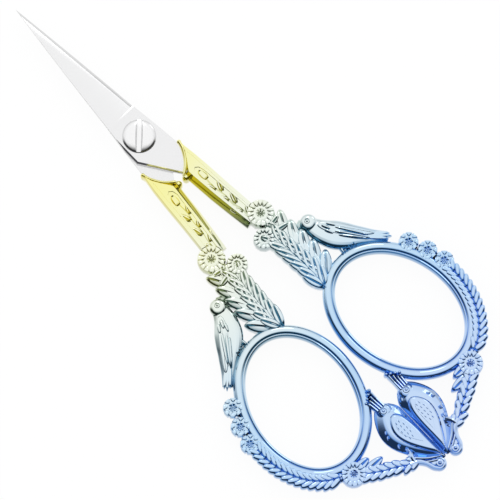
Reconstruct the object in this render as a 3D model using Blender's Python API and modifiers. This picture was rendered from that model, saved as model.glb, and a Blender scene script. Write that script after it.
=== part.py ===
"""Embroidery scissors with cast bird-and-flower handles, closed and lying flat.

+Y runs from the bows to the blade tips, +X is the side of the front handle and +Z is up. The two
halves are the same castings and stampings, turned over about the long axis of the scissors.
"""

import math

import bmesh
import bpy
from mathutils import Matrix, Vector

# Stack of the two halves, measured up from the surface that they lie on
CASTING_THICKNESS = 0.0048
BLADE_THICKNESS = 0.0013
BLADE_GAP = 0.0001
CLOSED_GAP = 0.0003
MIDDLE = CASTING_THICKNESS / 2

# Modelling margins: how far cutters reach past what they cut, and how near points are welded
CUT_MARGIN = 0.001
CUTTER_REACH = 0.06
WELD_DISTANCE = 0.000002
FLAT_ANGLE = math.radians(0.05)

# Blade
BLADE_REACH = 0.0372
BLADE_ROOT = 0.0047
GRIND_START = 0.0052
SHARPENED_START = 0.0057
BLADE_HALF_WIDTH = 0.0036
BLADE_BELLY = 0.00012
EDGE_THICKNESS = 0.0008
TIP_THICKNESS = 0.0005
SHARPENED_WIDTH = 0.0006
SHARPENED_THICKNESS = 0.0003
SHARPENED_TIP = 0.0002
HEEL_HALF_WIDTH = 0.0042
HEEL_BACK_END = 0.0038
HEEL_TUCK = 0.0003
TANG_ROOT = 0.0015
TANG_LENGTH = 0.0075
TANG_WIDTH = 0.0026
TANG_CLEARANCE = 0.0001

# Pivot screw
SCREW_RADIUS = 0.0015
SCREW_CLEARANCE = 0.00005
HEAD_RADIUS = 0.0035
HEAD_HEIGHT = 0.00115
HEAD_RIM = 0.0003
HEAD_GAP = 0.0001
SLOT_WIDTH = 0.0011
SLOT_DEPTH = 0.0006
SLOT_ANGLE = math.radians(45)
TAIL_BELOW_BLADE = 0.0003

# Collar, where the blade enters the casting
COLLAR_OUTER = Vector((0.0051, -0.0068))
COLLAR_INNER = Vector((0.0012, -0.0124))
COLLAR_LENGTH = 0.0028
MOUTH_SAG = 0.0012
LIP_RADIUS = 0.00055
KNOB_RADIUS = 0.0008
KNOB_RELIEF = 0.0041

# Shank, from the collar to the first flower
SHANK_TOP = Vector((0.0034, -0.0112))
SHANK_LENGTH = 0.0196
SHANK_SPLAY = math.radians(6.2)
SHANK_WIDTH = 0.0051
SHANK_END_WIDTH = 0.0046
SHANK_CHAMFER = 0.0008
SHANK_CHAMFER_DEPTH = 0.0019
PANEL_BORDER = 0.00055
PANEL_DEPTH = 0.0004
PANEL_START = 0.0035
PANEL_LENGTH = 0.0112

# Finger bow: an oval ring whose upper end leans towards the other half
BOW_DISTANCE = 0.0630
HOLE_WIDTH = 0.0210
HOLE_LENGTH = 0.0289
BOW_LEAN = math.radians(12)
BOW_BAND = 0.0025
BOW_THICKNESS = 0.0036
BOW_PITCH = 0.0011

# Flowers
BIG_DAISY_RADIUS = 0.0029
SMALL_DAISY_RADIUS = 0.0023
LOW_DAISY_RADIUS = 0.0026
DAISY_EYE_RADIUS = 0.0010
DAISY_STEP = 0.0008
PETAL_STEP = 0.0002
PETAL_NOTCH = 0.83
PETAL_SHOULDER = 0.27
UPPER_PETALS_SHARE = 0.62
BIG_DAISY_PETALS = 12
SMALL_DAISY_PETALS = 10
LOW_DAISY_PETALS = 11
LOW_DAISY_ANGLE = math.radians(-94)
LOW_DAISY_OFFSET = 0.0024
BLOSSOM_RADIUS = 0.0021
BLOSSOM_ANGLES = [math.radians(22), math.radians(9), math.radians(-4)]
BLOSSOM_OFFSET = 0.0020
BLOSSOM_RELIEF = 0.0042
BEADS = 6
BEAD_RADIUS = 0.0007

# Leaves
LEAF_LENGTH = 0.0034
LEAF_WIDTH = 0.0016
LEAF_ROOT_SHARE = 0.6
LEAF_BROADEST = 0.5
LEAF_LEAN = math.radians(38)
LEAF_RELIEF = 0.0040
STEM_WIDTH = 0.0026
STEM_RELIEF = 0.0030
SPRIG_PAIRS = 7
INNER_SPRIG_ANGLE = math.radians(112)
OUTER_SPRIG_ANGLE = math.radians(102)
SPRIG_BULGE = 0.0010
GARLAND_PAIRS = 9
GARLAND_LEAF_LENGTH = 0.0029
GARLAND_OFFSET = 0.0017
GARLAND_START = math.radians(-84)
GARLAND_END = math.radians(-10)
LOW_STEM_PAIRS = 4
LOW_STEM_LEAF_LENGTH = 0.0027
LOW_LEAF_LENGTHS = [0.0034, 0.0058]
LOW_LEAF_WIDTH = 0.0019

# Shoulder bird, measured from the point of the bow between its feet
PERCH_ANGLE = math.radians(68)
BODY_RELIEF = 0.0038
HEAD_RELIEF = 0.0040
WING_RELIEF = 0.0044
BEAK_RELIEF = 0.0024
LEG_RELIEF = 0.0022
BIRD_BODY = [
    (Vector((-0.0021, 0.0110)), 0.0016),
    (Vector((-0.0020, 0.0095)), 0.0019),
    (Vector((-0.0014, 0.0077)), 0.0025),
    (Vector((0.0002, 0.0054)), 0.0030),
    (Vector((0.0020, 0.0033)), 0.0026),
    (Vector((0.0036, 0.0017)), 0.0019),
    (Vector((0.0055, -0.0002)), 0.0015),
    (Vector((0.0080, -0.0025)), 0.0012),
]
BIRD_BEAK = [
    (Vector((-0.0026, 0.0113)), 0.0011),
    (Vector((-0.0043, 0.0113)), 0.0007),
    (Vector((-0.0053, 0.0103)), 0.0003),
]
BIRD_WING = [
    (Vector((0.0001, 0.0086)), 0.0006),
    (Vector((0.0014, 0.0065)), 0.0015),
    (Vector((0.0034, 0.0038)), 0.0014),
    (Vector((0.0056, 0.0011)), 0.0008),
    (Vector((0.0074, -0.0010)), 0.0001),
]
BIRD_HEAD_RADIUS = 0.00175
LEG_RADIUS = 0.0005
LEG_SPREAD = math.radians(4)
HIP_HEIGHT = 0.0022

# Love bird: distance from the closing line, share of the way from its head to the scroll, half width
LOVE_BODY = [
    (0.0031, -0.04, 0.0011),
    (0.0032, 0.03, 0.0018),
    (0.0034, 0.11, 0.0023),
    (0.0037, 0.20, 0.0032),
    (0.0038, 0.29, 0.0036),
    (0.0036, 0.40, 0.0034),
    (0.0031, 0.55, 0.0028),
    (0.0024, 0.72, 0.0021),
    (0.0016, 0.87, 0.0013),
    (0.0010, 0.96, 0.0006),
]
LOVE_WING = [
    (0.0027, 0.13, 0.0009),
    (0.0026, 0.24, 0.0018),
    (0.0024, 0.40, 0.0019),
    (0.0019, 0.65, 0.0011),
    (0.0011, 0.90, 0.0002),
]
LOVE_BEAK = [(0.0026, 0.01, 0.0011), (0.0012, 0.04, 0.0007), (0.0003, 0.09, 0.0002)]
LOVE_HEAD_RADIUS = 0.0017
LOVE_HEAD_DROP = 0.0050
CREST_ANGLE = math.radians(-160)
CREST_STRANDS = 3
CREST_PITCH = 0.0007
CREST_RADIUS = 0.00042
CREST_BEAD_RADIUS = 0.0007
CREST_RELIEF = 0.0034
CREST_BEAD_RELIEF = 0.0038

STEEL = (0.80, 0.80, 0.81, 1.0)
SCREW_STEEL = (0.74, 0.74, 0.75, 1.0)
BLUE_PLATE = (0.45, 0.66, 0.86, 1.0)

# Scroll at the lower end
SCROLL_RADIUS = 0.00165
SCROLL_WIRE = 0.00055
SCROLL_FROM_AXIS = 0.00215
SCROLL_DROP = 0.01135
SCROLL_BALL_RADIUS = 0.00124
SCROLL_RELIEF = 0.0038
SCROLL_BALL_RELIEF = 0.0042
COIL_START = Vector((0.0012, 0.0006))
COIL_THICKENING = [1.5, 1.4]
COIL_STEPS = 8
COIL_STEP = math.radians(40)
COIL_START_ANGLE = math.radians(18)

# Lower spray, in shares of the lower daisy's radius and of the scroll's radius
STEM_FROM_DAISY = Vector((-0.8, -0.6))
STEM_FROM_SCROLL = Vector((1.8, 1.8))
LOW_LEAF_ROOT = -0.4
LOW_LEAF_PITCH = -0.5
STRAND_FOOT = Vector((-0.4, 0.6))
LOVE_LEG_FOOT = Vector((1.9, 3.6))

# The ring's middle line is an ellipse, and its outer edge sets where its centre lies
RING_HALF_WIDTH = (HOLE_WIDTH + BOW_BAND) / 2
RING_HALF_LENGTH = (HOLE_LENGTH + BOW_BAND) / 2
OUTER_HALF_WIDTH = HOLE_WIDTH / 2 + BOW_BAND
OUTER_HALF_LENGTH = HOLE_LENGTH / 2 + BOW_BAND
BOW_REACH_X = math.hypot(OUTER_HALF_WIDTH * math.cos(BOW_LEAN), OUTER_HALF_LENGTH * math.sin(BOW_LEAN))
BOW_REACH_Y = math.hypot(OUTER_HALF_WIDTH * math.sin(BOW_LEAN), OUTER_HALF_LENGTH * math.cos(BOW_LEAN))
BOW_CENTRE = Vector((BOW_PITCH / 2 + BOW_REACH_X, -BOW_DISTANCE))

# The scroll ends the handle, and the pivot stands where the middle of the whole length is at Y = 0
SCROLL_CENTRE = Vector((SCROLL_FROM_AXIS, BOW_CENTRE.y - BOW_REACH_Y - SCROLL_DROP))
HANDLE_REACH = SCROLL_RADIUS - SCROLL_CENTRE.y
PIVOT_Y = (HANDLE_REACH - BLADE_REACH) / 2


def clear_scene():
    for old in list(bpy.data.objects):
        bpy.data.objects.remove(old, do_unlink=True)


def metal(name, colour, roughness, metallic=1.0):
    material = bpy.data.materials.new(name)
    material.use_nodes = True
    shader = material.node_tree.nodes["Principled BSDF"]
    shader.inputs["Base Color"].default_value = colour
    shader.inputs["Roughness"].default_value = roughness
    shader.inputs["Metallic"].default_value = metallic
    return material


def mesh_object(name, shape):
    """Turns a bmesh into an object in the scene."""
    data = bpy.data.meshes.new(name)
    shape.to_mesh(data)
    shape.free()
    made = bpy.data.objects.new(name, data)
    bpy.context.scene.collection.objects.link(made)
    return made


def reshape(piece, change):
    """Runs change(bmesh) on the object's mesh."""
    shape = bmesh.new()
    shape.from_mesh(piece.data)
    change(shape)
    shape.to_mesh(piece.data)
    shape.free()


def weld(shape):
    """Closes the hairline seams that curve caps and Booleans leave, and makes each flat area one face."""
    bmesh.ops.remove_doubles(shape, verts=shape.verts, dist=WELD_DISTANCE)
    bmesh.ops.dissolve_degenerate(shape, edges=shape.edges, dist=WELD_DISTANCE)
    bmesh.ops.dissolve_limit(shape, angle_limit=FLAT_ANGLE, verts=shape.verts, edges=shape.edges)


def meshed(curve_object):
    """Swaps a curve object for its mesh, with the loose caps welded on."""
    bpy.context.view_layer.update()
    graph = bpy.context.evaluated_depsgraph_get()
    data = bpy.data.meshes.new_from_object(curve_object.evaluated_get(graph))
    made = bpy.data.objects.new(curve_object.name, data)
    made.matrix_world = curve_object.matrix_world
    bpy.context.scene.collection.objects.link(made)
    bpy.data.objects.remove(curve_object, do_unlink=True)

    def close(shape):
        weld(shape)
        bmesh.ops.recalc_face_normals(shape, faces=shape.faces)

    reshape(made, close)
    return made


def new_curve(name, dimensions):
    data = bpy.data.curves.new(name, "CURVE")
    data.dimensions = dimensions
    data.fill_mode = "FULL" if dimensions == "3D" else "BOTH"
    made = bpy.data.objects.new(name, data)
    bpy.context.scene.collection.objects.link(made)
    return made


def sweep(name, stations, relief, resolution=0, closed=False):
    """A tapering tube through (point, radius) stations in the middle plane.

    relief is its full height where it is widest.
    """
    made = new_curve(name, "3D")
    widest = max(radius for _, radius in stations)
    made.data.bevel_depth = widest
    made.data.bevel_resolution = resolution
    made.data.use_fill_caps = not closed
    made.data.twist_mode = "Z_UP"
    line = made.data.splines.new("POLY")
    line.points.add(len(stations) - 1)
    line.use_cyclic_u = closed
    for point, (place, radius) in zip(line.points, stations):
        point.co = (place[0], place[1], 0, 1)
        point.radius = radius / widest
    tube = meshed(made)
    press = Matrix.Diagonal((1, 1, relief / (2 * widest), 1))
    tube.data.transform(Matrix.Translation((0, 0, MIDDLE)) @ press)
    return tube


def slab(name, outline, bottom, top, chamfer=0.0, slope=1.0):
    """A flat outline with thickness, its edges cut back by chamfer over a depth of slope times that."""
    made = new_curve(name, "2D")
    made.data.extrude = (top - bottom) / (2 * slope) - chamfer
    made.data.bevel_depth = chamfer
    made.data.bevel_resolution = 0
    made.data.offset = -chamfer
    line = made.data.splines.new("POLY")
    line.points.add(len(outline) - 1)
    line.use_cyclic_u = True
    for point, place in zip(line.points, outline):
        point.co = (place[0], place[1], 0, 1)
    plate = meshed(made)
    stretch = Matrix.Diagonal((1, 1, slope, 1))
    plate.data.transform(Matrix.Translation((0, 0, (top + bottom) / 2)) @ stretch)
    return plate


def pebble(name, centre, half_width, relief, segments=10, rings=6):
    """A ball pressed to the given relief."""
    shape = bmesh.new()
    place = Matrix.Translation((centre[0], centre[1], MIDDLE))
    size = Matrix.Diagonal((half_width, half_width, relief / 2, 1))
    bmesh.ops.create_uvsphere(
        shape, u_segments=segments, v_segments=rings, radius=1, matrix=place @ size
    )
    return mesh_object(name, shape)


def drum(name, centre, radius, bottom, top, sides=24):
    shape = bmesh.new()
    place = Matrix.Translation((centre[0], centre[1], (bottom + top) / 2))
    bmesh.ops.create_cone(
        shape,
        cap_ends=True,
        segments=sides,
        radius1=radius,
        radius2=radius,
        depth=top - bottom,
        matrix=place,
    )
    return mesh_object(name, shape)


def block(name, size, place):
    shape = bmesh.new()
    bmesh.ops.create_cube(shape, size=1, matrix=place @ Matrix.Diagonal((*size, 1)))
    return mesh_object(name, shape)


def combine(name, body, others, operation):
    """Joins or cuts body with the others, and removes them."""
    helpers = bpy.data.collections.new(name + "_helpers")
    for other in others:
        helpers.objects.link(other)
    step = body.modifiers.new(name, "BOOLEAN")
    step.operation = operation
    step.operand_type = "COLLECTION"
    step.collection = helpers
    step.solver = "EXACT"
    bpy.context.view_layer.update()
    graph = bpy.context.evaluated_depsgraph_get()
    data = bpy.data.meshes.new_from_object(body.evaluated_get(graph))
    made = bpy.data.objects.new(name, data)
    bpy.context.scene.collection.objects.link(made)
    for used in [body, *others]:
        bpy.data.objects.remove(used, do_unlink=True)
    bpy.data.collections.remove(helpers)
    reshape(made, weld)
    return made


def turned_over(name, piece):
    """A copy of the piece, rotated half a turn about the long axis through the middle of the stack."""
    made = piece.copy()
    made.name = name
    made.data = piece.data.copy()
    bpy.context.scene.collection.objects.link(made)
    to_middle = Matrix.Translation((0, 0, MIDDLE))
    made.data.transform(to_middle @ Matrix.Rotation(math.pi, 4, "Y") @ to_middle.inverted())
    return made


def heading(angle):
    return Vector((math.cos(angle), math.sin(angle)))


def ring_point(angle, out=0.0):
    """A point at the given angle round the bow, out from its middle line."""
    along = Vector(
        ((RING_HALF_WIDTH + out) * math.cos(angle), (RING_HALF_LENGTH + out) * math.sin(angle))
    )
    along.rotate(Matrix.Rotation(BOW_LEAN, 2))
    return BOW_CENTRE + along


def bend(start, middle, end, t):
    """A point on the smooth line from start to end that leaves towards middle."""
    return start * (1 - t) ** 2 + middle * 2 * t * (1 - t) + end * t * t


# Blade and screw


def blade_outline(grow=0.0):
    """The front blade from above: its cutting edge is on +X and its back on -X."""
    steps = 8
    span = BLADE_REACH - BLADE_ROOT
    cutting = []
    for step in range(steps):
        t = step / steps
        half = BLADE_HALF_WIDTH * (1 - t) + BLADE_BELLY * 4 * t * (1 - t)
        cutting.append(Vector((half, BLADE_ROOT + span * t)))
    back = [Vector((-point.x, point.y)) for point in reversed(cutting)]
    tang_half = TANG_WIDTH / 2 + grow
    tuck = (COLLAR_INNER - COLLAR_OUTER).normalized() * (HEEL_TUCK - grow)
    heel = [
        Vector((-HEEL_HALF_WIDTH - grow, 0)),
        Vector((-HEEL_HALF_WIDTH - grow, -HEEL_BACK_END)),
        COLLAR_INNER - tuck,
        shank_point(TANG_ROOT, -tang_half),
        shank_point(TANG_LENGTH + grow, -tang_half),
        shank_point(TANG_LENGTH + grow, tang_half),
        shank_point(TANG_ROOT, tang_half),
        COLLAR_OUTER + tuck,
        Vector((HEEL_HALF_WIDTH + grow, 0)),
    ]
    return cutting + [Vector((0, BLADE_REACH))] + back + heel


def plane_block(name, across, origin, end):
    """A block that rests on the plane through three points, starting at the line origin to across."""
    side = (across - origin).normalized()
    up = side.cross(end - origin).normalized()
    way = up.cross(side)
    size = Vector((CUTTER_REACH, CUTTER_REACH, CASTING_THICKNESS))
    frame = Matrix((side, way, up)).transposed().to_4x4()
    middle = origin + way * size.y / 2 + up * size.z / 2
    return block(name, size, Matrix.Translation(middle) @ frame)


def make_front_blade():
    inner = MIDDLE + BLADE_GAP / 2
    outer = inner + BLADE_THICKNESS
    blank = slab("blank", blade_outline(), inner, outer)
    back_point = Vector((-BLADE_HALF_WIDTH, GRIND_START, outer))
    edge_point = Vector((BLADE_HALF_WIDTH, GRIND_START, inner + EDGE_THICKNESS))
    tip_point = Vector((0, BLADE_REACH, inner + TIP_THICKNESS))
    face = plane_block("face_grind", edge_point, back_point, tip_point)
    bevel_line = Vector((BLADE_HALF_WIDTH - SHARPENED_WIDTH, SHARPENED_START, inner + EDGE_THICKNESS))
    bevel_foot = Vector((BLADE_HALF_WIDTH, SHARPENED_START, inner + SHARPENED_THICKNESS))
    bevel_end = Vector((0, BLADE_REACH, inner + SHARPENED_TIP))
    edge = plane_block("edge_grind", bevel_foot, bevel_line, bevel_end)
    hole_radius = SCREW_RADIUS + SCREW_CLEARANCE
    hole = drum("screw_hole", (0, 0), hole_radius, inner - CUT_MARGIN, outer + CUT_MARGIN)
    return combine("front_blade", blank, [face, edge, hole], "DIFFERENCE")


def make_screw():
    """Turned from a profile: a domed head, and a shank that ends below the rear blade."""
    seat = MIDDLE + BLADE_GAP / 2 + BLADE_THICKNESS + HEAD_GAP
    tail = MIDDLE - BLADE_GAP / 2 - BLADE_THICKNESS - TAIL_BELOW_BLADE
    profile = [(0, seat + HEAD_HEIGHT)]
    dome_steps = 4
    for step in range(1, dome_steps + 1):
        angle = math.radians(90) * step / dome_steps
        rise = (HEAD_HEIGHT - HEAD_RIM) * math.cos(angle)
        profile.append((HEAD_RADIUS * math.sin(angle), seat + HEAD_RIM + rise))
    profile += [(HEAD_RADIUS, seat), (SCREW_RADIUS, seat), (SCREW_RADIUS, tail), (0, tail)]
    shape = bmesh.new()
    corners = [shape.verts.new((x, 0, z)) for x, z in profile]
    for first, second in zip(corners, corners[1:]):
        shape.edges.new((first, second))
    made = mesh_object("screw_blank", shape)
    spin = made.modifiers.new("Turn", "SCREW")
    spin.steps = 24
    spin.render_steps = 24
    spin.use_merge_vertices = True
    spin.merge_threshold = WELD_DISTANCE
    slot_place = Matrix.Translation((0, 0, seat + HEAD_HEIGHT)) @ Matrix.Rotation(SLOT_ANGLE, 4, "Z")
    slot = block("slot", (3 * HEAD_RADIUS, SLOT_WIDTH, 2 * SLOT_DEPTH), slot_place)
    return combine("pivot_screw", made, [slot], "DIFFERENCE")


# Handle casting


def shank_point(distance, side=0.0):
    """A point at a distance down the shank, to one side of its middle line."""
    way = heading(SHANK_SPLAY - math.pi / 2)
    return SHANK_TOP + way * distance + Vector((-way.y, way.x)) * side


def big_daisy_centre():
    return shank_point(SHANK_LENGTH - BIG_DAISY_RADIUS / 2, SHANK_END_WIDTH / 3)


def shank_half_width(distance):
    return (SHANK_WIDTH + (SHANK_END_WIDTH - SHANK_WIDTH) * distance / SHANK_LENGTH) / 2


def mouth_point(t):
    """The sagging line of the collar's mouth, from its outer to its inner corner."""
    across = COLLAR_INNER - COLLAR_OUTER
    down = Vector((-across.y, across.x)).normalized()
    return bend(COLLAR_OUTER, COLLAR_OUTER + across / 2 + down * MOUTH_SAG, COLLAR_INNER, t)


def make_shank():
    """The collar and the bar below it: sloping sides, a slanting mouth, and a seat for the first daisy."""
    mouth = [mouth_point(step / 2) for step in range(3)]
    corners = [
        shank_point(SHANK_LENGTH, -shank_half_width(SHANK_LENGTH)),
        shank_point(SHANK_LENGTH, shank_half_width(SHANK_LENGTH)),
        shank_point(COLLAR_LENGTH, shank_half_width(COLLAR_LENGTH)),
    ]
    slope = SHANK_CHAMFER_DEPTH / SHANK_CHAMFER
    bar = slab("bar", mouth + corners, 0.0, CASTING_THICKNESS, SHANK_CHAMFER, slope)
    seats = []
    for face in (0.0, CASTING_THICKNESS):
        floor, top = face - DAISY_STEP, face + DAISY_STEP
        seats.append(drum("seat", big_daisy_centre(), BIG_DAISY_RADIUS, floor, top, sides=20))
    return combine("shank", bar, seats, "DIFFERENCE")


def make_lip():
    """The raised rim of the collar's mouth, with the bead at its inner end."""
    rim = [(mouth_point(step / 4), LIP_RADIUS) for step in range(5)]
    knob_centre = COLLAR_INNER - Vector((0, LIP_RADIUS))
    return [
        sweep("lip", rim, CASTING_THICKNESS, resolution=2),
        pebble("knob", knob_centre, KNOB_RADIUS, KNOB_RELIEF),
    ]


def make_panels():
    cutters = []
    border = SHANK_CHAMFER + PANEL_BORDER
    end = PANEL_START + PANEL_LENGTH
    outline = [
        shank_point(PANEL_START, -shank_half_width(PANEL_START) + border),
        shank_point(end, -shank_half_width(end) + border),
        shank_point(end, shank_half_width(end) - border),
        shank_point(PANEL_START, shank_half_width(PANEL_START) - border),
    ]
    for face in (0.0, CASTING_THICKNESS):
        cutters.append(slab("panel", outline, face - PANEL_DEPTH, face + PANEL_DEPTH))
    return cutters


def make_bow():
    count = 36
    stations = [(ring_point(2 * math.pi * step / count), BOW_BAND / 2) for step in range(count)]
    return sweep("bow", stations, BOW_THICKNESS, resolution=2, closed=True)


def petal_ring(name, centre, radius, petals, step, turn):
    """A disc scalloped into petals, a step below both faces, turned by a share of a petal."""
    outline = []
    for petal in range(petals):
        for share, reach in ((0, PETAL_NOTCH), (PETAL_SHOULDER, 1), (1 - PETAL_SHOULDER, 1)):
            angle = 2 * math.pi * (petal + share + turn) / petals
            outline.append(centre + heading(angle) * radius * reach)
    return slab(name, outline, step, CASTING_THICKNESS - step)


def make_daisy(name, centre, radius, petals):
    """Two tiers of petals round an eye, on both faces."""
    upper_radius = radius * UPPER_PETALS_SHARE
    return [
        petal_ring(name + "_petals", centre, radius, petals, 2 * PETAL_STEP, 0.0),
        petal_ring(name + "_upper_petals", centre, upper_radius, petals // 2, PETAL_STEP, 0.5),
        drum(name + "_eye", centre, DAISY_EYE_RADIUS, 0.0, CASTING_THICKNESS, sides=10),
    ]


def make_blossom(name, centre):
    """A domed boss ringed with beads."""
    pieces = [pebble(name, centre, BLOSSOM_RADIUS - BEAD_RADIUS / 2, BLOSSOM_RELIEF, 8, 4)]
    pieces.append(pebble(name + "_eye", centre, BEAD_RADIUS, CASTING_THICKNESS, 6, 3))
    for bead in range(BEADS):
        place = centre + heading(2 * math.pi * bead / BEADS) * (BLOSSOM_RADIUS - BEAD_RADIUS)
        pieces.append(pebble(f"{name}_bead_{bead}", place, BEAD_RADIUS, BLOSSOM_RELIEF, 6, 3))
    return pieces


def make_leaf(name, root, way, length, width=LEAF_WIDTH):
    stations = [
        (root, width / 2 * LEAF_ROOT_SHARE),
        (root + way * length * LEAF_BROADEST, width / 2),
        (root + way * length, 0.0),
    ]
    return sweep(name, stations, LEAF_RELIEF)


def make_leaf_row(name, line, pairs, length):
    """A stem along line(t), with pairs of leaves that lean towards its end."""
    steps = 6
    stations = [(line(step / steps), STEM_WIDTH / 2) for step in range(steps + 1)]
    pieces = [sweep(name + "_stem", stations, STEM_RELIEF, resolution=0)]
    for pair in range(pairs):
        t = pair / pairs
        root = line(t)
        way = (line(t + 1 / pairs) - root).normalized()
        for side in (-1, 1):
            lean = way.copy()
            lean.rotate(Matrix.Rotation(side * LEAF_LEAN, 2))
            pieces.append(make_leaf(f"{name}_{pair}_{side}", root, lean, length))
    return pieces


def make_sprigs():
    """The two fern sprigs that stand on the bow and end under the two daisies."""
    inner_root = ring_point(INNER_SPRIG_ANGLE, BOW_BAND / 4)
    outer_root = ring_point(OUTER_SPRIG_ANGLE, BOW_BAND / 4)
    inner_end = shank_point(SHANK_LENGTH - STEM_WIDTH / 2, -SHANK_END_WIDTH / 5)
    outer_end = shank_point(SHANK_LENGTH - STEM_WIDTH / 2, SHANK_END_WIDTH / 3)
    bulge = Vector((2 * SPRIG_BULGE, 0))

    def inner(t):
        return bend(inner_root, (inner_root + inner_end) / 2 + bulge, inner_end, t)

    def outer(t):
        return bend(outer_root, (outer_root + outer_end) / 2 + bulge, outer_end, t)

    pieces = make_leaf_row("inner_sprig", inner, SPRIG_PAIRS, LEAF_LENGTH)
    pieces += make_leaf_row("outer_sprig", outer, SPRIG_PAIRS, LEAF_LENGTH)
    return pieces


def make_garland():
    def line(t):
        return ring_point(GARLAND_START + (GARLAND_END - GARLAND_START) * t, GARLAND_OFFSET)

    return make_leaf_row("garland", line, GARLAND_PAIRS, GARLAND_LEAF_LENGTH)


def make_shoulder_bird():
    perch = ring_point(PERCH_ANGLE)

    def placed(stations):
        return [(perch + point, radius) for point, radius in stations]

    pieces = [
        sweep("bird_body", placed(BIRD_BODY), BODY_RELIEF, resolution=1),
        pebble("bird_head", perch + BIRD_BODY[0][0], BIRD_HEAD_RADIUS, HEAD_RELIEF, 10, 5),
        sweep("bird_beak", placed(BIRD_BEAK), BEAK_RELIEF, resolution=0),
        sweep("bird_wing", placed(BIRD_WING), WING_RELIEF, resolution=0),
    ]
    for side in (-1, 1):
        foot = ring_point(PERCH_ANGLE - side * LEG_SPREAD, BOW_BAND / 3)
        hip = foot + Vector((0, HIP_HEIGHT))
        pieces.append(sweep(f"bird_leg_{side}", [(hip, LEG_RADIUS), (foot, LEG_RADIUS)], LEG_RELIEF))
    return pieces


def make_love_bird():
    """The bird that meets its twin along the closing line, with a crest up to the bow."""
    clasp = ring_point(CREST_ANGLE, BOW_BAND / 3)
    head = clasp.y - LOVE_HEAD_DROP
    drop = SCROLL_CENTRE.y - head

    def placed(stations):
        return [(Vector((across, head + drop * share)), radius) for across, share, radius in stations]

    pieces = [
        sweep("love_body", placed(LOVE_BODY), BODY_RELIEF, resolution=1),
        sweep("love_wing", placed(LOVE_WING), WING_RELIEF, resolution=0),
        sweep("love_beak", placed(LOVE_BEAK), BEAK_RELIEF, resolution=0),
        pebble("love_head", placed(LOVE_BODY)[0][0], LOVE_HEAD_RADIUS, HEAD_RELIEF, 10, 5),
    ]
    for strand in range(CREST_STRANDS):
        step = CREST_PITCH * strand
        foot = Vector((LOVE_BODY[0][0] - CREST_PITCH + step, head + LOVE_HEAD_RADIUS / 2))
        top = clasp + Vector((step - CREST_PITCH / 2, -step * 0.8))
        line = [(foot, CREST_RADIUS), (top, CREST_RADIUS)]
        pieces.append(sweep(f"crest_{strand}", line, CREST_RELIEF, resolution=1))
        pieces.append(pebble(f"crest_bead_{strand}", top, CREST_BEAD_RADIUS, CREST_BEAD_RELIEF, 6, 3))
    return pieces


def make_lower_spray():
    """The lower daisy's two leaves, the leafy stem and the scroll that ends the handle."""
    daisy = ring_point(LOW_DAISY_ANGLE, LOW_DAISY_OFFSET)
    stem_root = daisy + STEM_FROM_DAISY * LOW_DAISY_RADIUS
    stem_end = SCROLL_CENTRE + STEM_FROM_SCROLL * SCROLL_RADIUS

    def stem(t):
        return bend(stem_end, (stem_end + stem_root) / 2 - Vector((0, SCROLL_WIRE)), stem_root, t)

    pieces = make_leaf_row("low_stem", stem, LOW_STEM_PAIRS, LOW_STEM_LEAF_LENGTH)
    for number, length in enumerate(LOW_LEAF_LENGTHS):
        root = daisy + Vector((LOW_LEAF_ROOT, LOW_LEAF_PITCH * number)) * LOW_DAISY_RADIUS
        pieces.append(make_leaf(f"low_leaf_{number}", root, Vector((-1, 0)), length, LOW_LEAF_WIDTH))
    starts = [stem_end + COIL_START, stem_end]
    coil = [(point, SCROLL_WIRE * share) for point, share in zip(starts, COIL_THICKENING)]
    for step in range(COIL_STEPS):
        angle = COIL_START_ANGLE - COIL_STEP * step
        coil.append((SCROLL_CENTRE + heading(angle) * (SCROLL_RADIUS - SCROLL_WIRE), SCROLL_WIRE))
    pieces.append(sweep("scroll", coil, SCROLL_RELIEF, resolution=1))
    pieces.append(pebble("scroll_ball", SCROLL_CENTRE, SCROLL_BALL_RADIUS, SCROLL_BALL_RELIEF, 8, 5))
    for name, foot in (("strand", STRAND_FOOT), ("love_leg", LOVE_LEG_FOOT)):
        line = [(stem_end, SCROLL_WIRE), (SCROLL_CENTRE + foot * SCROLL_RADIUS, SCROLL_WIRE)]
        pieces.append(sweep(name, line, STEM_RELIEF, resolution=1))
    return pieces


def make_front_handle():
    small = shank_point(SHANK_LENGTH + SMALL_DAISY_RADIUS, -SHANK_END_WIDTH / 3)
    pieces = [make_shank(), *make_lip()]
    pieces += make_daisy("big_daisy", big_daisy_centre(), BIG_DAISY_RADIUS, BIG_DAISY_PETALS)
    pieces += make_daisy("small_daisy", small, SMALL_DAISY_RADIUS, SMALL_DAISY_PETALS)
    for number, angle in enumerate(BLOSSOM_ANGLES):
        pieces += make_blossom(f"blossom_{number}", ring_point(angle, BLOSSOM_OFFSET))
    pieces += make_sprigs() + make_garland() + make_shoulder_bird() + make_love_bird()
    low = ring_point(LOW_DAISY_ANGLE, LOW_DAISY_OFFSET)
    pieces += make_daisy("low_daisy", low, LOW_DAISY_RADIUS, LOW_DAISY_PETALS)
    pieces += make_lower_spray()
    joined = combine("casting", make_bow(), pieces, "UNION")
    inner = MIDDLE + BLADE_GAP / 2
    socket = slab(
        "socket",
        blade_outline(TANG_CLEARANCE),
        inner - TANG_CLEARANCE,
        inner + BLADE_THICKNESS + TANG_CLEARANCE,
    )
    beside = Matrix.Translation(((CLOSED_GAP - CUTTER_REACH) / 2, -HANDLE_REACH / 2, MIDDLE))
    axis_cut = block("axis_cut", (CUTTER_REACH, 2 * HANDLE_REACH, 2 * CASTING_THICKNESS), beside)
    return combine("front_handle", joined, [socket, axis_cut, *make_panels()], "DIFFERENCE")


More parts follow.
